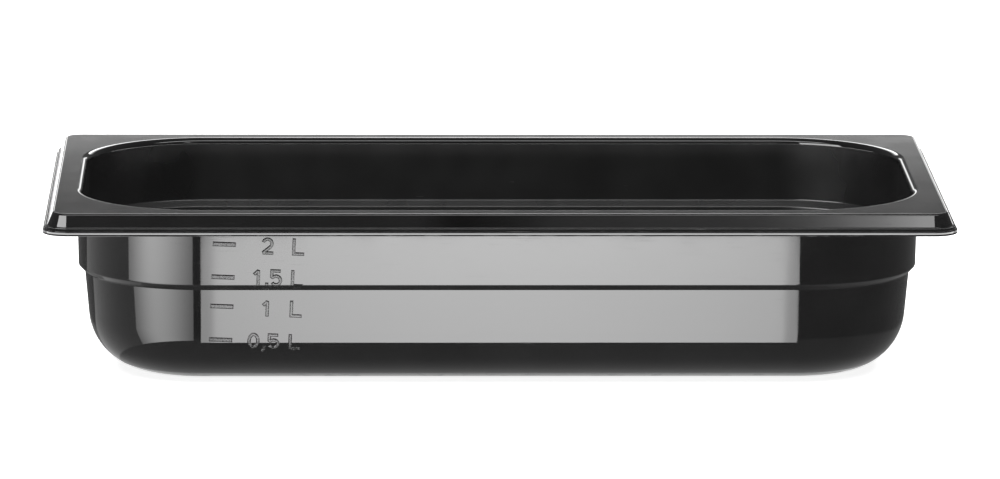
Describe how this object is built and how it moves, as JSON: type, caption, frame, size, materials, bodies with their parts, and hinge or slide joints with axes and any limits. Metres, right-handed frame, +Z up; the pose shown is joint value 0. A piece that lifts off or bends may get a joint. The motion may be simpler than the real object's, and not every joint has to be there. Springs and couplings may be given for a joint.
{
  "type": "food pan",
  "caption": "Shallow rectangular food pan with a flat rim and skirt, round corners, a stacking shoulder and a raised litre scale.",
  "frame": {"origin": "centre of the underside, on the surface that the pan stands on", "axes": "+X along the pan, +Y from the front wall with the litre scale to the back wall, +Z up"},
  "size_m": [0.325, 0.176, 0.065],
  "materials": {
    "pan_plastic": "black polycarbonate: high gloss on the walls, fine matte grain on top of the rim and under the floor",
    "scale_relief": "the same black polycarbonate, moulded as a raised litre scale"
  },
  "bodies": {
    "root": {"pan": "pan_plastic", "fill_line_2L": "scale_relief", "fill_line_1_5L": "scale_relief", "fill_line_1L": "scale_relief", "fill_line_0_5L": "scale_relief", "numeral_2_of_2L": "scale_relief", "letter_L_of_2L": "scale_relief", "numeral_1_of_1_5L": "scale_relief", "comma_of_1_5L": "scale_relief", "numeral_5_of_1_5L": "scale_relief", "letter_L_of_1_5L": "scale_relief", "numeral_1_of_1L": "scale_relief", "letter_L_of_1L": "scale_relief", "numeral_0_of_0_5L": "scale_relief", "comma_of_0_5L": "scale_relief", "numeral_5_of_0_5L": "scale_relief", "letter_L_of_0_5L": "scale_relief"}
  },
  "joints": []
}
